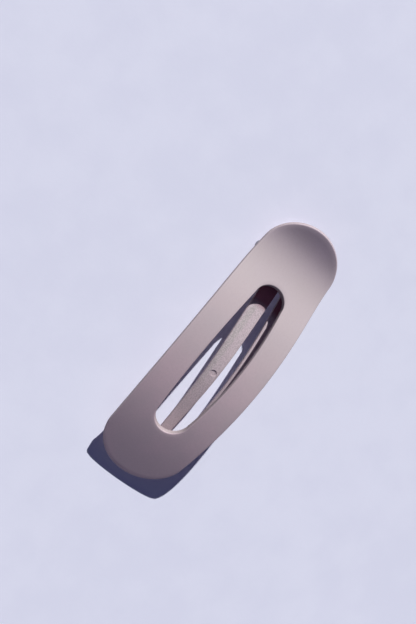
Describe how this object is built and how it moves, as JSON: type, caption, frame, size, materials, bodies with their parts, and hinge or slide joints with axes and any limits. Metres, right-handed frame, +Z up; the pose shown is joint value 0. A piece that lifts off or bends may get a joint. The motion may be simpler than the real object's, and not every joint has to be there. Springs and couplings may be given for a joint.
{
  "type": "alligator hair clip",
  "caption": "Long arched hair clip with a slotted oval upper jaw, an open-framed toothed lower jaw with a centre tongue, and a sprung hinge near one end.",
  "frame": {"origin": "on the table, under the middle of the clip's box", "axes": "+X from the gripping tip towards the finger tab, +Z up through the arched upper jaw, Y along the hinge pin"},
  "size_m": [0.1068, 0.0332, 0.0158],
  "materials": {
    "soft_touch_plastic": "matte soft-touch coat, warm mauve grey",
    "grained_plastic": "lightly grained moulded plastic, warm mauve grey",
    "steel": "plain drawn steel wire"
  },
  "bodies": {
    "lower": {"lower_jaw": "grained_plastic", "torsion_spring": "steel"},
    "upper": {"upper_jaw": "soft_touch_plastic", "hinge_pin": "steel"}
  },
  "joints": [
    {"name": "jaw_hinge", "type": "hinge", "parent": "lower", "child": "upper", "pos_m": [0.0371, 0, 0.0044], "axis": [0, 1, 0], "range_deg": [0, 28], "stiffness_Nm_per_rad": 0.2, "springref_deg": -34.38, "deforming": ["torsion_spring"]}
  ]
}
